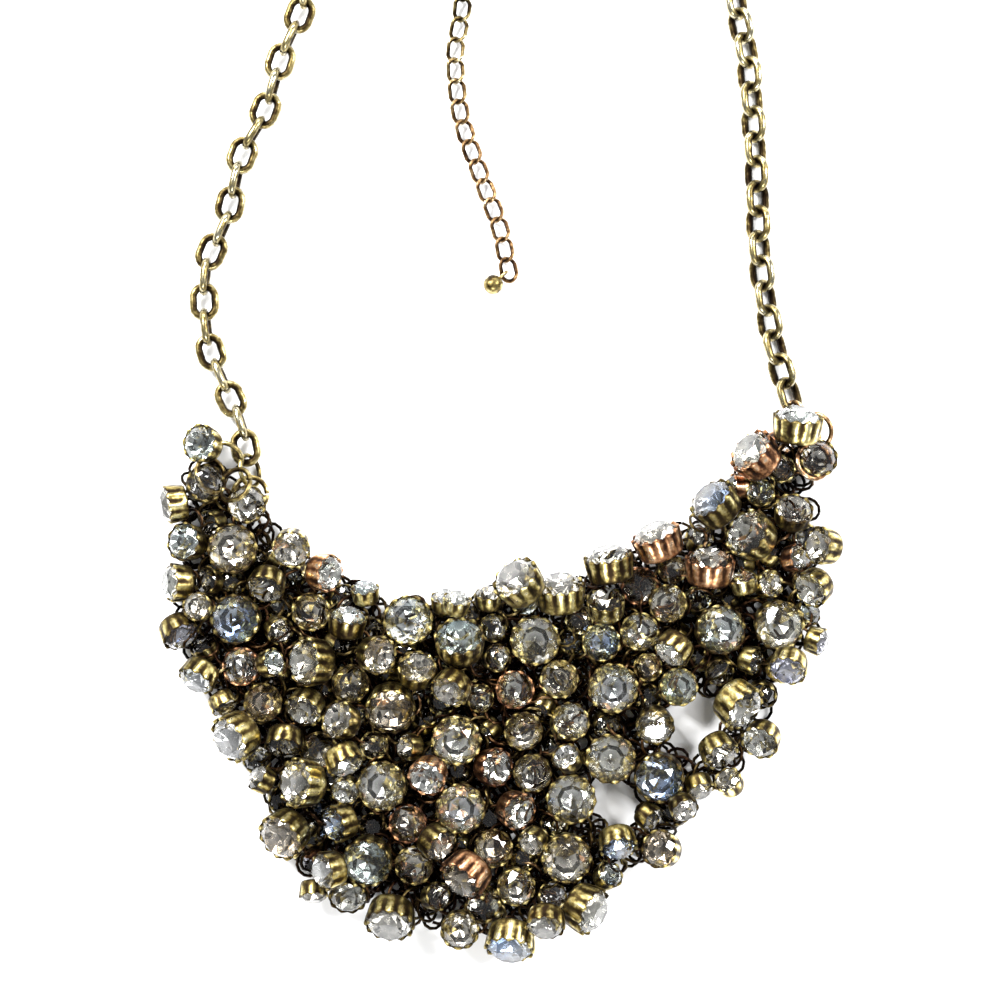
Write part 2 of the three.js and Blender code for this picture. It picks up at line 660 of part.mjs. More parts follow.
// The ball hangs on a small eye, which hooks the extender's last link.
function ballSolid() {
  const centre = new THREE.Vector3(...BALL_AT, BALL_RADIUS);
  const [endX, endY] = EXTENDER[EXTENDER.length - 1];
  const toLink = new THREE.Vector3(endX - centre.x, endY - centre.y, 0).normalize();
  const eyeCentre = centre.clone().addScaledVector(toLink, 2.4);
  const eye = new THREE.TorusGeometry(0.9, 0.25, 6, 10);
  return toSolid(new THREE.SphereGeometry(BALL_RADIUS, 12, 8), new THREE.Matrix4().setPosition(centre))
    .add(toSolid(eye, linkFrame(eyeCentre, toLink, 90)));
}
necklace.add(toMesh(ballSolid(), 'end_ball', BRASS));

export default necklace;
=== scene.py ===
import math

import bpy
import numpy as np
from mathutils import Matrix, Vector


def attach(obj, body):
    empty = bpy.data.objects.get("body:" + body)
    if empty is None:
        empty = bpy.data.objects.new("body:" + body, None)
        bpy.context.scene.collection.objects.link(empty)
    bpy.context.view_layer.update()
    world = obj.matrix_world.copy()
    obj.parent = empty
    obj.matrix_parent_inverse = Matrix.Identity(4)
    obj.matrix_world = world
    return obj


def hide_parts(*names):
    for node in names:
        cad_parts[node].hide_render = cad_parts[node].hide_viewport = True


MM = 0.001
rng = np.random.default_rng(11)

# ---- Camera -----------------------------------------------------------------------------------------------------

VIEW_CENTRE = Vector((0.0, -23.8, 5.0)) * MM
VIEW_WIDTH = 175 * MM
LENS = 100
ELEVATION = math.radians(88)

camera_data = bpy.data.cameras.new("camera")
camera_data.lens = LENS
camera = bpy.data.objects.new("camera", camera_data)
bpy.context.scene.collection.objects.link(camera)
bpy.context.scene.camera = camera
away = VIEW_WIDTH * LENS / camera_data.sensor_width
toward_camera = Vector((0, -math.cos(ELEVATION), math.sin(ELEVATION)))
camera.location = VIEW_CENTRE + toward_camera * away
camera.rotation_euler = (math.radians(90) - ELEVATION, 0, 0)
camera_data.clip_start = 0.01

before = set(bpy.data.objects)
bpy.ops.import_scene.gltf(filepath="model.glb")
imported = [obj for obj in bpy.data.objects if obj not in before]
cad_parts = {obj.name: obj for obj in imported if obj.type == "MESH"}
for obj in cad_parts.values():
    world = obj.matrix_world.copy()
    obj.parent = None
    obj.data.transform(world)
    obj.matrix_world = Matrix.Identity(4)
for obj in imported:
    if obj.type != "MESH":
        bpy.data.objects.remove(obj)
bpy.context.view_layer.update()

# ---- Sizes, as in the CAD -----------------------------------------------------------------------------------------

# Rim radius, height of the cup's wall, height over the crystal's table.
STONE_SIZES = {"large": (4.5, 4.2, 5.8), "medium": (3.5, 3.3, 4.6), "small": (2.6, 2.6, 3.6)}
TABLE_RATIO = 0.6
FOOT_RATIO = 0.84
STRAP_LINK = {"length": 6.65, "width": 5.1, "wire": 1.15, "pitch": 4.5}
EXTENDER_LINK = {"length": 4.7, "width": 3.3, "wire": 0.6, "pitch": 3.62}
ARC = {"x": 3.5, "y": 63.7, "radius": 38.5, "step": 15}
OPEN_SPOTS = [(34, -63, 4.4), (20.5, -76.5, 3.6)]

LEFT_STRAP = [
    (-44.8, -14.5), (-45.6, -10.3), (-48.8, -2.8), (-51.4, 4.2), (-51.8, 17.3),
    (-48.3, 26), (-45.5, 37.4), (-41.8, 44.5), (-38.5, 55),
]
RIGHT_STRAP = [(51, -5.2), (48.1, 5.1), (45.9, 20), (45.5, 30.5), (45, 41), (43.8, 55)]
EXTENDER = [
    (-5.1, 99.4, 2.7), (-5.3, 96.7, 0.35), (-5.5, 93, 0), (-6.2, 78), (-6.7, 63.7), (-7.9, 55.8), (-7.5, 48),
    (-6.5, 42.7), (-3.5, 34), (0, 24.3), (1.5, 17),
]
CLASP_RING_AT = (-5, 101.6)
EYE_X = CLASP_RING_AT[0] + 0.8 + 3.2 + 7.65
BALL_AT = (-1.2, 14.4, 1.75)
# Small cups along the bib's upper edge, which lean out over it.
EDGE_CUPS = [(-23.5, -40), (-20, -41), (-14.5, -41.8), (-10, -42.2), (-4, -42), (1, -40.5), (24, -33.5)]
# A fill stone keeps this share of the two stones' radii between their middles.
EDGE_SPACING = 0.8
FILL_SPACING = 0.87
NET_RING_RADIUS = 2.05
TABLE_HALF = 1.5
TABLE_Z = -0.0002

# Cups of a copper tone, and crystals of a tint, by place: a stone within reach of the place takes it.
PLACE_REACH = 2.6
STRAY_COPPER = 0.05
COPPER_AT = [
    (36.5, -35.5), (-30.5, -36.5), (0.5, -70), (5, -78), (-12, -73), (-43.5, -75), (-31.5, -86), (-14, -80),
    (48, -14), (44.5, -16),
]
TINTS_AT = {
    "blue": [(-45.5, -45), (26, -72), (-28, -80), (0, -100.5), (32, -71), (20.5, -83.5), (37.5, -24.5)],
    "aqua": [(-52, -14), (19, -56.5), (-16.5, -45), (44, -21), (-7, -48.5), (-23, -86.5), (52, -10.5)],
    "smoky": [(-19, -60), (-20.5, -53), (-6, -89), (8, -61), (-1, -84.5)],
}
TINTS = {
    "clear": (1.0, 0.98, 0.93),
    "greige": (0.94, 0.90, 0.81),
    "aqua": (0.86, 0.97, 0.98),
    "blue": (0.50, 0.66, 0.97),
    "lavender": (0.72, 0.74, 0.90),
    "smoky": (0.70, 0.60, 0.47),
}

# ---- Shader tools -------------------------------------------------------------------------------------------------


def new_material(name):
    material = bpy.data.materials.new(name)
    material.use_nodes = True
    return material, material.node_tree.nodes, material.node_tree.links


def finish_colour(nodes):
    """The colour attribute of the mesh, which holds the finish with its painted shade."""
    finish = nodes.new("ShaderNodeAttribute")
    finish.attribute_name = "finish"
    return finish.outputs["Color"]


def patina_and_shade_group():
    """Antique plate: dark in the recesses from patina and painted shade, rubbed bright on the edges. Puts out a colour
    and a roughness.
    """
    group = bpy.data.node_groups.new("patina_and_shade", "ShaderNodeTree")
    for name, kind in (("Wear_and_shade", "NodeSocketFloat"), ("Tone_and_shade", "NodeSocketFloat"), ("Copper", "NodeSocketFloat")):
        group.interface.new_socket(name, in_out="INPUT", socket_type=kind)
    group.interface.new_socket("Colour", in_out="OUTPUT", socket_type="NodeSocketColor")
    group.interface.new_socket("Roughness", in_out="OUTPUT", socket_type="NodeSocketFloat")
    nodes, links = group.nodes, group.links
    entry = nodes.new("NodeGroupInput")
    leave = nodes.new("NodeGroupOutput")
    place = nodes.new("ShaderNodeTexCoord")
    fine = nodes.new("ShaderNodeTexNoise")
    fine.inputs["Scale"].default_value = 900
    fine.inputs["Detail"].default_value = 3
    links.new(place.outputs["Object"], fine.inputs["Vector"])
    broad = nodes.new("ShaderNodeTexNoise")
    broad.inputs["Scale"].default_value = 120
    broad.inputs["Detail"].default_value = 2
    links.new(place.outputs["Object"], broad.inputs["Vector"])

    def math_node(kind, a, b):
        node = nodes.new("ShaderNodeMath")
        node.operation = kind
        node.use_clamp = kind == "ADD"
        for socket, value in zip(node.inputs, (a, b)):
            if isinstance(value, (int, float)):
                socket.default_value = value
            else:
                links.new(value, socket)
        return node.outputs[0]

    grain = math_node("MULTIPLY", math_node("SUBTRACT", fine.outputs["Fac"], 0.5), 1.5)
    worn_and_shaded = math_node("ADD", entry.outputs["Wear_and_shade"], grain)
    blotch = math_node("MULTIPLY", math_node("SUBTRACT", broad.outputs["Fac"], 0.5), 1.0)
    worn_and_shaded = math_node("ADD", worn_and_shaded, blotch)

    def ramp(stops, fac):
        node = nodes.new("ShaderNodeValToRGB")
        elements = node.color_ramp.elements
        while len(elements) < len(stops):
            elements.new(0.5)
        for element, (at, colour) in zip(elements, stops):
            element.position = at
            element.color = (*colour, 1)
        links.new(fac, node.inputs["Fac"])
        return node.outputs["Color"]

    # The ramps run from near black, for patina and painted shade in the hollows, to cream, for rubbed edges.
    brass = ramp([(0.0, (0.018, 0.011, 0.006)), (0.32, (0.07, 0.05, 0.018)), (0.56, (0.33, 0.26, 0.09)),
                  (0.80, (0.74, 0.64, 0.30)), (1.0, (0.95, 0.88, 0.62))], worn_and_shaded)
    copper = ramp([(0.0, (0.022, 0.010, 0.007)), (0.32, (0.10, 0.045, 0.022)), (0.58, (0.42, 0.21, 0.10)),
                   (0.82, (0.80, 0.50, 0.29)), (1.0, (0.96, 0.78, 0.58))], worn_and_shaded)
    mix = nodes.new("ShaderNodeMix")
    mix.data_type = "RGBA"
    links.new(entry.outputs["Copper"], mix.inputs["Factor"])
    links.new(brass, mix.inputs["A"])
    links.new(copper, mix.inputs["B"])
    # The tone darkens the colour; on the net rings this is painted shade.
    tone_and_shade = nodes.new("ShaderNodeHueSaturation")
    links.new(mix.outputs["Result"], tone_and_shade.inputs["Color"])
    links.new(entry.outputs["Tone_and_shade"], tone_and_shade.inputs["Value"])
    links.new(tone_and_shade.outputs["Color"], leave.inputs["Colour"])
    rough = nodes.new("ShaderNodeMapRange")
    rough.inputs["To Min"].default_value = 0.5
    rough.inputs["To Max"].default_value = 0.24
    links.new(worn_and_shaded, rough.inputs["Value"])
    links.new(rough.outputs["Result"], leave.inputs["Roughness"])
    return group


PATINA_AND_SHADE = patina_and_shade_group()


def metal_material(name, plain=None):
    """Antique metal. Its wear, copper and tone, which on the cups, wires and net rings carry painted shade, are the
    plain values, or come from the mesh's colour attribute.
    """
    material, nodes, links = new_material(name)
    shader = nodes["Principled BSDF"]
    shader.inputs["Metallic"].default_value = 1.0
    patina_and_shade = nodes.new("ShaderNodeGroup")
    patina_and_shade.node_tree = PATINA_AND_SHADE
    if plain:
        for socket, value in plain.items():
            patina_and_shade.inputs[socket].default_value = value
    else:
        parts = nodes.new("ShaderNodeSeparateColor")
        links.new(finish_colour(nodes), parts.inputs["Color"])
        for socket, part in (("Wear_and_shade", "Red"), ("Copper", "Green"), ("Tone_and_shade", "Blue")):
            links.new(parts.outputs[part], patina_and_shade.inputs[socket])
    links.new(patina_and_shade.outputs["Colour"], shader.inputs["Base Color"])
    links.new(patina_and_shade.outputs["Roughness"], shader.inputs["Roughness"])
    return material


def crystal_material(name):
    """Cut crystal: clear over a mirror foil, its tint, darkened by painted shade, in the mesh's colour attribute."""
    material, nodes, links = new_material(name)
    shader = nodes["Principled BSDF"]
    links.new(finish_colour(nodes), shader.inputs["Base Color"])
    shader.inputs["Roughness"].default_value = 0.02
    shader.inputs["IOR"].default_value = 1.6
    shader.inputs["Transmission Weight"].default_value = 1.0
    return material


def foil_material(name):
    """The foil on a crystal's back, in the tint and painted shade of the mesh's colour attribute, a little uneven in
    its brightness: random darker patches that are painted reflection.
    """
    material, nodes, links = new_material(name)
    shader = nodes["Principled BSDF"]
    shader.inputs["Metallic"].default_value = 1.0
    shader.inputs["Roughness"].default_value = 0.11
    place = nodes.new("ShaderNodeTexCoord")
    noise = nodes.new("ShaderNodeTexNoise")
    noise.inputs["Scale"].default_value = 260
    links.new(place.outputs["Object"], noise.inputs["Vector"])
    value = nodes.new("ShaderNodeMapRange")
    value.inputs["From Min"].default_value = 0.3
    value.inputs["From Max"].default_value = 0.7
    value.inputs["To Min"].default_value = 0.6
    value.inputs["To Max"].default_value = 1.0
    links.new(noise.outputs["Fac"], value.inputs["Value"])
    painted_shade = nodes.new("ShaderNodeHueSaturation")
    links.new(finish_colour(nodes), painted_shade.inputs["Color"])
    links.new(value.outputs["Result"], painted_shade.inputs["Value"])
    links.new(painted_shade.outputs["Color"], shader.inputs["Base Color"])
    return material


CUP = metal_material("antique cup")
WIRE = metal_material("antique wire")
PLAIN = metal_material("plain antique brass", {"Wear_and_shade": 0.45, "Copper": 0.0, "Tone_and_shade": 0.6})
CRYSTAL = crystal_material("cut crystal")
FOIL = foil_material("crystal foil")

# ---- Meshes -------------------------------------------------------------------------------------------------------


def finish_of(wear_and_shade, copper, tone_and_shade):
    """The finish of each point of a metal shape, with painted shade: how much it is rubbed, which is low where shade is
    painted, its share of copper, and its tone.
    """
    return np.column_stack([wear_and_shade, np.full_like(wear_and_shade, copper), np.full_like(wear_and_shade, tone_and_shade)])


class Heap:
    """Copies of small shapes, gathered into one mesh."""

    def __init__(self):
        self.points, self.faces, self.slots, self.finish, self.count = [], [], [], [], 0

    def add(self, shape, matrix, finish):
        """Adds a shape; its finish and painted shade is one colour for each point, or one for them all."""
        points = shape["points"] @ matrix[:3, :3].T + matrix[:3, 3]
        self.points.append(points)
        self.finish.append(np.broadcast_to(finish, (len(points), 3)))
        self.faces.extend([[i + self.count for i in face] for face in shape["faces"]])
        self.slots.extend(shape["slots"])
        self.count += len(points)

    def build(self, name, slot, materials, smooth, *nodes):
        mesh = bpy.data.meshes.new(name)
        mesh.from_pydata(np.concatenate(self.points) * MM, [], self.faces)
        for material in materials:
            mesh.materials.append(material)
        mesh.polygons.foreach_set("material_index", self.slots)
        mesh.polygons.foreach_set("use_smooth", [smooth] * len(self.faces))
        colours = mesh.color_attributes.new("finish", "FLOAT_COLOR", "POINT")
        finish = np.concatenate(self.finish)
        colours.data.foreach_set("color", np.column_stack([finish, np.ones(len(finish))]).ravel())
        mesh.update()
        piece = bpy.data.objects.new(name, mesh)
        bpy.context.scene.collection.objects.link(piece)
        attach(piece, "root")
        if nodes:
            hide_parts(*nodes)
        return piece


def cup_shape(size):
    """A fluted cup with a claw on each rib, and how much each point is rubbed; the low values at the foot, in the
    flutes and inside are patina with painted shade.
    """
    radius, wall, height = STONE_SIZES[size]
    flutes = {"large": 12, "medium": 10, "small": 8}[size]
    base = -height / 2
    girdle = base + wall * 0.94
    columns = flutes * 4
    angle = 2 * np.pi * np.arange(columns) / columns
    rib = np.clip(1.6 * np.cos(flutes * angle) + 0.5, -1, 1)
    claw = np.clip(rib, 0, 1)
    crown = (height - wall * 0.94) / (0.32 * radius)
    # The radius, height and wear of each ring of points, up the outside, over the rim and down the inside; low wear is
    # patina with painted shade.
    rows = [
        (0.70 * radius, base, 0.05),
        (0.82 * radius, base + 0.04 * wall, 0.2),
        ((0.87 + 0.01 * rib) * radius, base + 0.16 * wall, 0.36 + 0.10 * rib),
        ((0.89 + 0.02 * rib) * radius, base + 0.36 * wall, 0.34 + 0.22 * rib),
        ((0.915 + 0.045 * rib) * radius, base + 0.66 * wall, 0.26 + 0.46 * rib),
        ((0.945 + 0.055 * rib) * radius, base + (0.95 + 0.05 * rib) * wall, 0.30 + 0.46 * rib),
        ((0.96 + 0.02 * rib) * radius, girdle + (0.03 + 0.12 * claw) * radius, 0.20 + 0.26 * rib),
        ((0.935 - 0.05 * claw) * radius, girdle + (0.05 + 0.12 * claw) * radius, 0.14 + 0.30 * rib),
        ((0.925 - 0.08 * claw) * radius, girdle + 0.10 * claw * radius * crown, 0.30 + 0.3 * rib),
        (0.83 * radius, base + 0.5 * wall, 0.05),
    ]
    points = [(0, 0, base)]
    wear_and_shade = [0.05]
    for row in rows:
        r, z, w = (np.broadcast_to(value, columns) for value in row)
        points += list(zip(r * np.cos(angle), r * np.sin(angle), z))
        wear_and_shade += list(w)
    faces = []
    for k in range(columns):
        after = (k + 1) % columns
        faces.append([0, 1 + after, 1 + k])
        for row in range(len(rows) - 1):
            a, b = 1 + row * columns, 1 + (row + 1) * columns
            faces.append([a + k, a + after, b + after, b + k])
    last = 1 + (len(rows) - 1) * columns
    points.append((0, 0, base + 0.35 * wall))
    wear_and_shade.append(0.05)
    for k in range(columns):
        faces.append([last + k, last + (k + 1) % columns, len(points) - 1])
    return {"points": np.array(points), "faces": faces, "slots": [0] * len(faces), "wear_and_shade": np.array(wear_and_shade)}


def crystal_shape(size):
    """A chaton cut: table, stars, kites and upper facets over a pointed back on foil."""
    radius, wall, height = STONE_SIZES[size]
    base = -height / 2
    girdle, top, tip = base + 0.94 * wall, base + height, base + 0.42 * wall
    eight = 2 * np.pi * np.arange(8) / 8
    half = eight + np.pi / 8

    def ring(r, z, angles):
        return [(r * math.cos(a), r * math.sin(a), z) for a in angles]

    points = ring(0.52 * radius, top, eight)
    points += ring(0.73 * radius, girdle + 0.60 * (top - girdle), half)
    points += ring(0.92 * radius, girdle, eight)
    points += ring(0.92 * radius, girdle, half)
    points += ring(0.40 * radius, tip + 0.44 * (girdle - tip), eight)
    points.append((0, 0, tip))
    faces, slots = [list(range(8))], [0]
    for k in range(8):
        n = (k + 1) % 8
        table, table_n, star, star_b = k, n, 8 + k, 8 + (k - 1) % 8
        main, main_n, mid = 16 + k, 16 + n, 24 + k
        low, low_n = 32 + k, 32 + n
        crown = [[table, star, table_n], [table, star_b, main, star], [star, main, mid], [star, mid, main_n]]
        back = [[main, low, mid], [mid, low, low_n], [mid, low_n, main_n], [low, 40, low_n]]
        faces += crown + back
        slots += [0] * 4 + [1] * 4
    # Painted shade: darker between the main facets, at the girdle and at the tip, for the dark spokes that the facets
    # reflect.
    painted_shade = np.concatenate([np.full(16, 1.0), np.full(8, 1.0), np.full(8, 0.42), np.full(8, 1.0), [0.35]])
    return {"points": np.array(points), "faces": faces, "slots": slots, "painted_shade": painted_shade}


def wire_shape(path, wire, sides=6, closed=True):
    """A round wire bent along a flat path of points about +Z, rubbed bright on its outer side and darker on its inner
    side, which is wear with painted shade.
    """
    path = np.array(path)
    count = len(path)
    points, wear_and_shade = [], []
    for i, here in enumerate(path):
        before = path[i - 1] if closed or i else here
        after = path[(i + 1) % count] if closed or i < count - 1 else here
        along = (after - before) / np.linalg.norm(after - before)
        out = np.array([along[1], -along[0], 0.0])
        for k in range(sides):
            turn = 2 * math.pi * k / sides
            points.append(here + wire / 2 * (math.cos(turn) * out + math.sin(turn) * np.array([0, 0, 1])))
            wear_and_shade.append(0.5 + 0.3 * math.cos(turn))
    faces = []
    for i in range(count if closed else count - 1):
        a, b = i * sides, (i + 1) % count * sides
        for k in range(sides):
            n = (k + 1) % sides
            faces.append([a + k, b + k, b + n, a + n])
    if not closed:
        faces.append(list(range(sides)))
        faces.append([(count - 1) * sides + k for k in reversed(range(sides))])
    return {"points": np.array(points), "faces": faces, "slots": [0] * len(faces), "wear_and_shade": np.array(wear_and_shade)}


def link_shape(link, curl=0, steps=20, sides=8):
    """An oval link, long along X. A curb link is curled: its ends are turned about X, in degrees from its middle."""
    radius = (link["width"] - link["wire"]) / 2
    straight = (link["length"] - link["width"]) / 2
    path = []
    for k in range(steps):
        turn = 2 * math.pi * (k + 0.5) / steps
        x = radius * math.cos(turn)
        path.append((x + math.copysign(straight, x), radius * math.sin(turn), 0))
    shape = wire_shape(path, link["wire"], sides)
    if curl:
        x, y, z = shape["points"].T
        turn = np.radians(curl) * 2 * x / link["length"]
        shape["points"] = np.column_stack([x, y * np.cos(turn) - z * np.sin(turn), y * np.sin(turn) + z * np.cos(turn)])
    return shape


def ring_shape(radius, wire, steps=24, sides=8, split=5):
    """A jump ring with its cut, a few degrees wide."""
    turns = np.radians(np.linspace(split / 2, 360 - split / 2, steps))
    return wire_shape([(radius * math.cos(t), radius * math.sin(t), 0) for t in turns], wire, sides, closed=False)


CUPS = {size: cup_shape(size) for size in STONE_SIZES}
CUTS = {size: crystal_shape(size) for size in STONE_SIZES}

# ---- The stones, read from the CAD nodes ----------------------------------------------------------------------------


def node_points(node):
    """A node's corner points, in millimetres."""
    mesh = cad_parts[node].data
    points = np.empty(len(mesh.vertices) * 3)
    mesh.vertices.foreach_get("co", points)
    return points.reshape(-1, 3) / MM


def flat_faces(node):
    """The corner points of each flat face of a node, with its outward normal."""
    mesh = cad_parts[node].data
    points = node_points(node)
    planes = {}
    for polygon in mesh.polygons:
        normal = np.array(polygon.normal)
        corner = points[list(polygon.vertices)]
        if polygon.area < 1e-11:
            continue
        key = (*np.round(normal, 2), round(float(corner[0] @ normal), 1))
        planes.setdefault(key, []).append((normal, corner))
    for rows in planes.values():
        yield rows[0][0], np.unique(np.round(np.concatenate([c for _, c in rows]), 3), axis=0)


def polygon_centre(corners, normal, radius, sides):
    """The centre of a regular polygon that most of its corners are there of, or nothing."""
    across = np.cross(normal, [0, 0, 1.0] if abs(normal[2]) < 0.9 else [1.0, 0, 0])
    across /= np.linalg.norm(across)
    up = np.cross(normal, across)
    flat = np.column_stack([corners @ across, corners @ up])
    edge = 2 * radius * math.sin(math.pi / sides)
    depth = radius * math.cos(math.pi / sides)
    for i in range(len(flat)):
        for j in range(len(flat)):
            side = flat[j] - flat[i]
            length = np.linalg.norm(side)
            if i == j or abs(length - edge) > 0.02:
                continue
            centre = (flat[i] + flat[j]) / 2 + depth * np.array([-side[1], side[0]]) / length
            on = np.abs(np.linalg.norm(flat - centre, axis=1) - radius) < 0.03
            if on.sum() >= sides * 0.6:
                return centre[0] * across + centre[1] * up + float(corners[0] @ normal) * normal
    return None


def ring_matches(points, size, middle, axis):
    """How many of a node's points lie where a stone's foot, rim and table have their corners."""
    radius, wall, height = STONE_SIZES[size]
    rise = (points - middle) @ axis + height / 2
    out = np.linalg.norm(np.cross(points - middle, axis), axis=1)
    rings = ((FOOT_RATIO * radius, 0), (radius, wall), (TABLE_RATIO * radius, height))
    return sum(int(((np.abs(out - r) < 0.03) & (np.abs(rise - z) < 0.03)).sum()) for r, z in rings)


def read_stones(node, sides, sizes):
    """The stones of a node, as size, middle and axis: each is found by its table or by its foot."""
    found = []
    points = np.unique(np.round(node_points(node), 3), axis=0)
    for normal, corners in flat_faces(node):
        if len(corners) < sides * 0.6:
            continue
        for size in sizes:
            radius, _, height = STONE_SIZES[size]
            for ratio, sign in ((TABLE_RATIO, 1), (FOOT_RATIO, -1)):
                if sides == 12 and sign < 0:
                    continue
                centre = polygon_centre(corners, normal, ratio * radius, sides)
                if centre is None:
                    continue
                axis = normal * sign
                middle = centre - axis * height / 2 * sign
                matches = ring_matches(points, size, middle, axis)
                if sides == 12 or matches > 9:
                    found.append((matches, size, middle, axis))
    found.sort(key=lambda row: -row[0])
    kept = []
    for _, size, middle, axis in found:
        if all(np.linalg.norm(middle - other[1]) > 1 for other in kept):
            kept.append((size, middle, axis))
    return kept


def tint_of(middle):
    for tint, places in TINTS_AT.items():
        if any(math.hypot(middle[0] - x, middle[1] - y) < PLACE_REACH for x, y in places):
            return tint
    roll = rng.random()
    for tint, share in (("clear", 0.50), ("greige", 0.76), ("aqua", 0.88), ("lavender", 0.92), ("blue", 0.94)):
        if roll < share:
            return tint
    return "smoky"


def stone_matrix(middle, axis, spin):
    z = Vector(axis).normalized()
    turn = z.to_track_quat("Z", "Y").to_matrix() @ Matrix.Rotation(spin, 3, "Z")
    matrix = np.eye(4)
    matrix[:3, :3] = np.array(turn)
    matrix[:3, 3] = middle
    return matrix


def leaning_axis(lean, way):
    """The direction that leans from upright by one angle, toward another."""
    return (math.sin(lean) * math.cos(way), math.sin(lean) * math.sin(way), math.cos(lean))


def add_stone(cups, crystals, size, middle, axis):
    matrix = stone_matrix(middle, axis, rng.random() * math.tau)
    charted = any(math.hypot(middle[0] - x, middle[1] - y) < PLACE_REACH for x, y in COPPER_AT)
    copper = float(charted or rng.random() < STRAY_COPPER)
    wear_and_shade = CUPS[size]["wear_and_shade"] + rng.uniform(-0.08, 0.1)
    cups.add(CUPS[size], matrix, finish_of(wear_and_shade, copper, rng.uniform(0.75, 1.1)))
    points = CUTS[size]["points"]
    tint, plain = np.array(TINTS[tint_of(middle)]), np.array(TINTS["clear"])
    # The foil's tint lies over one side of the crystal more than the other.
    share = np.clip(0.4 + 1.1 * points[:, :1] / STONE_SIZES[size][0], 0, 1)
    # Painted shade darkens the crystal between its main facets, at the girdle and at the tip.
    colour = (tint * share + plain * (1 - share)) * CUTS[size]["painted_shade"][:, None] * rng.uniform(0.92, 1.1)
    crystals.add(CUTS[size], matrix, np.clip(colour, 0, 1))


stones = []
strands = sorted(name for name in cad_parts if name.startswith("strand_"))
settings = sorted(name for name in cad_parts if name.startswith("setting_"))
opened = sorted(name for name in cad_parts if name.startswith("crystal_"))
for strand in strands:
    cups, crystals = Heap(), Heap()
    for size, middle, axis in read_stones(strand, 8, ("large", "medium", "small")):
        stones.append((size, middle, axis))
        add_stone(cups, crystals, size, middle, axis)
    cups.build(f"cups_{strand[-2:]}", "brass", [CUP], True, strand)
    crystals.build(f"cuts_{strand[-2:]}", "crystal", [CRYSTAL, FOIL], False)

cups, crystals = Heap(), Heap()
for node in opened:
    for size, middle, axis in read_stones(node, 12, ("large",)):
        stones.append((size, middle, axis))
        add_stone(cups, crystals, size, middle, axis)
cups.build("cups_open", "brass", [CUP], True, *settings)
crystals.build("cuts_open", "crystal", [CRYSTAL, FOIL], False, *opened)

# ---- Fill: small stones and the net under them ----------------------------------------------------------------------

middles = [m for _, m, _ in stones]
reaches = [STONE_SIZES[size][0] for size, _, _ in stones]


def surrounded(x, y, near, widest):
    """True if stones lie on all sides of a place."""
    turns = sorted(math.atan2(m[1] - y, m[0] - x) for m in middles[:bib_count]
                   if math.hypot(m[0] - x, m[1] - y) < near)
    if len(turns) < 3:
        return False
    gaps = [b - a for a, b in zip(turns, turns[1:])] + [turns[0] + math.tau - turns[-1]]
    return max(gaps) < math.radians(widest)


def in_hole(x, y, margin):
    return any(math.hypot(x - hx, y - hy) < r + margin for hx, hy, r in OPEN_SPOTS)


def add_fill(size, x, y, lifts, spacing, axis_at):
    """Adds a stone at the first of the heights over its radius at which it has room."""
    radius = STONE_SIZES[size][0]
    for lift in lifts:
        spot = np.array([x, y, radius + lift])
        if all(np.linalg.norm(spot - m) > spacing * (radius + reach) for m, reach in zip(middles, reaches)):
            add_stone(cups, crystals, size, spot, axis_at())
            middles.append(spot)
            reaches.append(radius)
            return


bib_count = len(middles)
low_x, low_y = np.min(middles, axis=0)[:2]
high_x, high_y = np.max(middles, axis=0)[:2]
cups, crystals = Heap(), Heap()
for x, y in EDGE_CUPS:
    add_fill("small", x, y, (1, 2.4, 4), EDGE_SPACING,
             lambda: leaning_axis(math.radians(rng.uniform(45, 70)), math.pi / 2))
for size in ("medium", "small"):
    for x in np.arange(low_x, high_x, 1.6):
        for y in np.arange(low_y, high_y, 1.6):
            px, py = x + rng.uniform(-0.7, 0.7), y + rng.uniform(-0.7, 0.7)
            if not in_hole(px, py, STONE_SIZES[size][0] * 0.8) and surrounded(px, py, 10, 165):
                add_fill(size, px, py, (0.6, 2.2, 4), FILL_SPACING,
                         lambda: leaning_axis(math.radians(rng.uniform(5, 75)), rng.uniform(0, math.tau)))
cups.build("cups_fill", "brass", [CUP], True)
crystals.build("cuts_fill", "crystal", [CRYSTAL, FOIL], False)

NET_RING = ring_shape(NET_RING_RADIUS, 0.6, 12, 5, 4)
net = Heap()
for layer, (pitch, height) in enumerate(((3.1, 0.9), (3.1, 1.9), (3.4, 3.2))):
    for row, x in enumerate(np.arange(low_x - 2, high_x + 2, pitch * 0.87)):
        for y in np.arange(low_y - 2 + (row % 2) * pitch / 2 + layer, high_y + 2, pitch):
            px, py = x + rng.uniform(-0.4, 0.4) + layer * 1.1, y + rng.uniform(-0.4, 0.4)
            if in_hole(px, py, 1.6) or not surrounded(px, py, 9, 165):
                continue
            lean = math.radians(rng.uniform(6, 22) + 16 * layer)
            axis = leaning_axis(lean, rng.uniform(0, math.tau))
            z = height + NET_RING_RADIUS * math.sin(lean) * 0.5
            # Painted shade: the net rings are painted near black, each lower layer darker, for the shade under the
            # stones.
            wear_and_shade = NET_RING["wear_and_shade"] * rng.uniform(0.3, 0.8) - 0.16 + 0.06 * layer
            copper = 0.8 if rng.random() < 0.5 else 0.2
            finish = finish_of(wear_and_shade, copper, 0.09 + 0.07 * layer)
            net.add(NET_RING, stone_matrix((px, py, z), axis, rng.uniform(0, math.tau)), finish)
net.build("net_rings", "dark_brass", [WIRE], True)

# ---- Chains, rings and ball -----------------------------------------------------------------------------------------


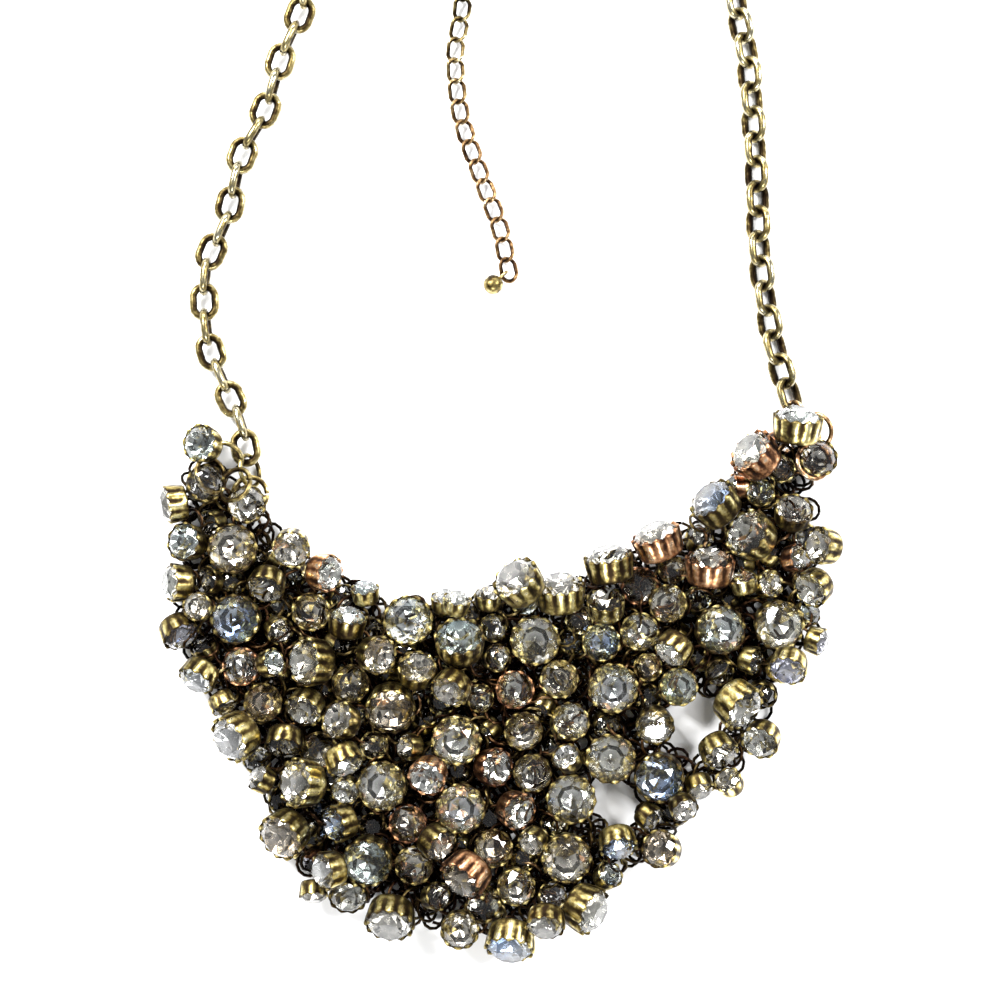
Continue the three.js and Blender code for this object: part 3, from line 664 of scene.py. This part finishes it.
def smooth_route(route, step=0.05):
    """Points and distances along a centripetal curve through the route."""
    points = [np.array([*p, 0.0][:3], float) for p in route]
    points = [2 * points[0] - points[1], *points, 2 * points[-1] - points[-2]]
    line = []
    for p0, p1, p2, p3 in zip(points, points[1:], points[2:], points[3:]):
        t = [0.0]
        for a, b in ((p0, p1), (p1, p2), (p2, p3)):
            t.append(t[-1] + math.sqrt(np.linalg.norm(b - a)))
        for u in np.arange(t[1], t[2], (t[2] - t[1]) * step):
            a1 = ((t[1] - u) * p0 + (u - t[0]) * p1) / (t[1] - t[0])
            a2 = ((t[2] - u) * p1 + (u - t[1]) * p2) / (t[2] - t[1])
            a3 = ((t[3] - u) * p2 + (u - t[2]) * p3) / (t[3] - t[2])
            b1 = ((t[2] - u) * a1 + (u - t[0]) * a2) / (t[2] - t[0])
            b2 = ((t[3] - u) * a2 + (u - t[1]) * a3) / (t[3] - t[1])
            line.append(((t[2] - u) * b1 + (u - t[1]) * b2) / (t[2] - t[1]))
    line.append(points[-2])
    line = np.array(line)
    along = np.concatenate([[0], np.cumsum(np.linalg.norm(np.diff(line, axis=0), axis=1))])
    return line, along


def link_matrix(centre, along, roll):
    """A place whose X runs along a direction and whose Y is turned about it by the roll, from level."""
    x = Vector(along).normalized()
    level = Vector((0, 0, 1)).cross(x).normalized()
    y = Matrix.Rotation(math.radians(roll), 3, x) @ level
    z = x.cross(y)
    matrix = np.eye(4)
    matrix[:3, 0], matrix[:3, 1], matrix[:3, 2], matrix[:3, 3] = x, y, z, centre
    return matrix


def add_chain(heap, link, route, first_roll, twist_at, finish_at, stouter=0.0, curl=0):
    line, along = smooth_route(route)
    count = round(along[-1] / link["pitch"]) + 1
    shape = link_shape({**link, **{key: link[key] + stouter for key in ("length", "width", "wire")}}, curl)
    for i in range(count):
        u = i / (count - 1)
        at = u * along[-1]
        centre = np.array([np.interp(at, along, line[:, k]) for k in range(3)])
        ahead = np.array([np.interp(min(at + 0.2, along[-1]), along, line[:, k]) for k in range(3)])
        behind = np.array([np.interp(max(at - 0.2, 0), along, line[:, k]) for k in range(3)])
        twist = twist_at(u)
        centre[2] += link["wire"] / 2 + (link["width"] - link["wire"]) / 2 * math.cos(math.radians(twist))
        roll = 0 if curl else first_roll + twist + 90 * i
        matrix = link_matrix(centre, ahead - behind, roll + rng.uniform(-4, 4))
        heap.add(shape, matrix, finish_at(shape["wear_and_shade"], centre))


def arc_points(from_angle, to_angle):
    step = math.copysign(ARC["step"], to_angle - from_angle)
    points, angle = [], from_angle
    while abs(to_angle - angle) > ARC["step"] / 2:
        points.append((ARC["x"] + ARC["radius"] * math.cos(math.radians(angle)),
                       ARC["y"] + ARC["radius"] * math.sin(math.radians(angle))))
        angle += step
    return points


def strap_finish(wear_and_shade, centre):
    tone_and_shade = rng.uniform(0.34, 0.5)
    # Wear with painted shade: the outer side of each link rubbed bright, the inner side near black.
    wear_and_shade = 0.42 + 1.7 * (wear_and_shade - 0.5)
    return finish_of(wear_and_shade, 0.12, tone_and_shade)


def extender_finish(wear_and_shade, centre):
    low = np.clip((70 - centre[1]) / 30, 0, 1)
    # Wear with painted shade: the outer side of each link rubbed bright, the inner side dark.
    wear_and_shade = 0.40 + 1.4 * (wear_and_shade - 0.5)
    return finish_of(wear_and_shade, 0.7 * low, 0.28 + 0.2 * low)


def smooth_step(u, low, high):
    t = min(max((u - low) / (high - low), 0), 1)
    return t * t * (3 - 2 * t)


ring_x, ring_y = CLASP_RING_AT
hook_reach = (STRAP_LINK["length"] - STRAP_LINK["wire"]) / 2
left_end = (ring_x - 1.35 - hook_reach * 0.943, ring_y - 0.1 - hook_reach * 0.334)
right_end = (EYE_X + 0.3 + hook_reach * 0.99, ring_y - hook_reach * 0.14)

for name, node, route, twist_at in (
    ("strap_left", "chain_left", [*LEFT_STRAP, *arc_points(180, 112), left_end],
     lambda u: -45 * smooth_step(u, 0.6, 1)),
    ("strap_right", "chain_right", [*RIGHT_STRAP, *arc_points(0, 80), right_end], lambda u: 45),
):
    strap = Heap()
    add_chain(strap, STRAP_LINK, route, 0, twist_at, strap_finish, stouter=0.25)
    strap.build(name, "brass", [WIRE], True, node)
fine = Heap()
add_chain(fine, EXTENDER_LINK, EXTENDER, 90, lambda u: 45 * min(1, 6 * u, 6 * (1 - u)), extender_finish,
          stouter=0.2, curl=42)
fine.build("extender_links", "copper", [WIRE], True, "extender_chain")

for name, node, radius, place, along, roll, copper, tone_and_shade in (
    ("ring_left", "jump_ring_left", 2.8, (-44, -18.6, 2.9), (-0.2, 1, 0), 60, 0.0, 0.9),
    ("ring_right", "jump_ring_right", 2.8, (52.1, -9.2, 2.9), (-0.28, 1, 0), -60, 0.6, 0.8),
    ("ring_clasp", "clasp_ring", 2.9, (ring_x, ring_y, 2.9), (1, 0, 0), 120, 0.0, 0.9),
):
    jump = Heap()
    shape = ring_shape(radius, 0.8, 32)
    jump.add(shape, link_matrix(place, along, roll), finish_of(shape["wear_and_shade"], copper, tone_and_shade))
    jump.build(name, "brass", [WIRE], True, node)
corner = Heap()
shape = ring_shape(3.0, 0.9, 32)
for x, y, z, copper in ((-44, -22.7, 2.15, 0.1), (53.3, -13.3, 2.15, 0.8)):
    corner.add(shape, link_matrix((x, y, z), (1, 0, 0), 0), finish_of(shape["wear_and_shade"], copper, 0.85))
# Spare rings lie about the two corners.
for x, y, z, lean, way, copper in (
    (54.6, -17.2, 6.5, 25, 30, 0.9), (55.4, -11.6, 4.5, 35, 200, 0.8), (50.2, -16.2, 6, 50, 320, 0.6),
    (-48.2, -16.2, 4, 40, 250, 0.1), (-50.6, -19.4, 5.5, 45, 20, 0.2), (-46.2, -21.2, 6.5, 35, 140, 0.1),
):
    turn = math.radians(way)
    axis = leaning_axis(math.radians(lean), turn)
    corner.add(shape, stone_matrix((x, y, z), axis, turn), finish_of(shape["wear_and_shade"] - 0.1, copper, 0.45))
corner.build("rings_corner", "dark_brass", [WIRE], True)

# The ball drop: a ball with a seam, on a small eye that hooks the extender's last link.
ball = Heap()
steps, rows = 28, 15
points = [(0, 0, -BALL_AT[2])]
for row in range(1, rows):
    lift = math.pi * row / rows
    seam = 0.97 if abs(row - rows / 2) < 0.6 else 1.0
    radius = BALL_AT[2] * math.sin(lift) * seam
    for k in range(steps):
        turn = math.tau * k / steps
        points.append((radius * math.cos(turn), radius * math.sin(turn), -BALL_AT[2] * math.cos(lift)))
points.append((0, 0, BALL_AT[2]))
faces = [[0, 1 + (k + 1) % steps, 1 + k] for k in range(steps)]
for row in range(rows - 2):
    for k in range(steps):
        n, a, b = (k + 1) % steps, 1 + row * steps, 1 + (row + 1) * steps
        faces.append([a + k, a + n, b + n, b + k])
faces += [[1 + (rows - 2) * steps + k, 1 + (rows - 2) * steps + (k + 1) % steps, len(points) - 1] for k in range(steps)]
shape = {"points": np.array(points), "faces": faces, "slots": [0] * len(faces)}
to_link = np.array([EXTENDER[-1][0] - BALL_AT[0], EXTENDER[-1][1] - BALL_AT[1], 0.0])
to_link /= np.linalg.norm(to_link)
ball.add(shape, stone_matrix(BALL_AT, to_link, 0), np.array([0.48, 0.1, 0.6]))
eye = ring_shape(0.9, 0.5, 18, 6, 4)
ball.add(eye, link_matrix(np.array(BALL_AT) + 2.4 * to_link, to_link, 90), finish_of(eye["wear_and_shade"], 0.2, 0.9))
ball.build("ball_drop", "brass", [CUP], True, "end_ball")

# The clasp keeps its CAD shape.
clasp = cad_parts["clasp"]
clasp.data.materials.clear()
clasp.data.materials.append(PLAIN)

# ---- Table and light ------------------------------------------------------------------------------------------------

corners = [(x * TABLE_HALF, y * TABLE_HALF, TABLE_Z) for x, y in ((-1, -1), (1, -1), (1, 1), (-1, 1))]
floor_mesh = bpy.data.meshes.new("table")
floor_mesh.from_pydata(corners, [], [(0, 1, 2, 3)])
floor_material, floor_nodes, _ = new_material("white table")
floor_nodes["Principled BSDF"].inputs["Base Color"].default_value = (0.9, 0.9, 0.9, 1)
floor_nodes["Principled BSDF"].inputs["Roughness"].default_value = 0.8
floor_mesh.materials.append(floor_material)
floor = bpy.data.objects.new("table", floor_mesh)
bpy.context.scene.collection.objects.link(floor)


def softbox(name, place, size, power, target=(0, -0.03, 0)):
    data = bpy.data.lights.new(name, "AREA")
    data.shape = "RECTANGLE"
    data.size, data.size_y = size
    data.energy = power
    light = bpy.data.objects.new(name, data)
    light.location = place
    light.rotation_euler = (Vector(target) - Vector(place)).to_track_quat("-Z", "Y").to_euler()
    bpy.context.scene.collection.objects.link(light)


softbox("key", (-0.35, 0.30, 0.55), (0.26, 0.18), 13)
softbox("fill", (0.45, 0.15, 0.45), (0.12, 0.40), 6.5)
softbox("back", (0.0, 0.6, 0.30), (0.6, 0.10), 5)
softbox("front", (0.05, -0.55, 0.45), (0.30, 0.08), 4)

bpy.context.scene.view_settings.view_transform = "Standard"
world = bpy.data.worlds.new("studio")
bpy.context.scene.world = world
world.use_nodes = True
world.node_tree.nodes["Background"].inputs["Color"].default_value = (0.95, 0.97, 1.0, 1)
world.node_tree.nodes["Background"].inputs["Strength"].default_value = 0.42
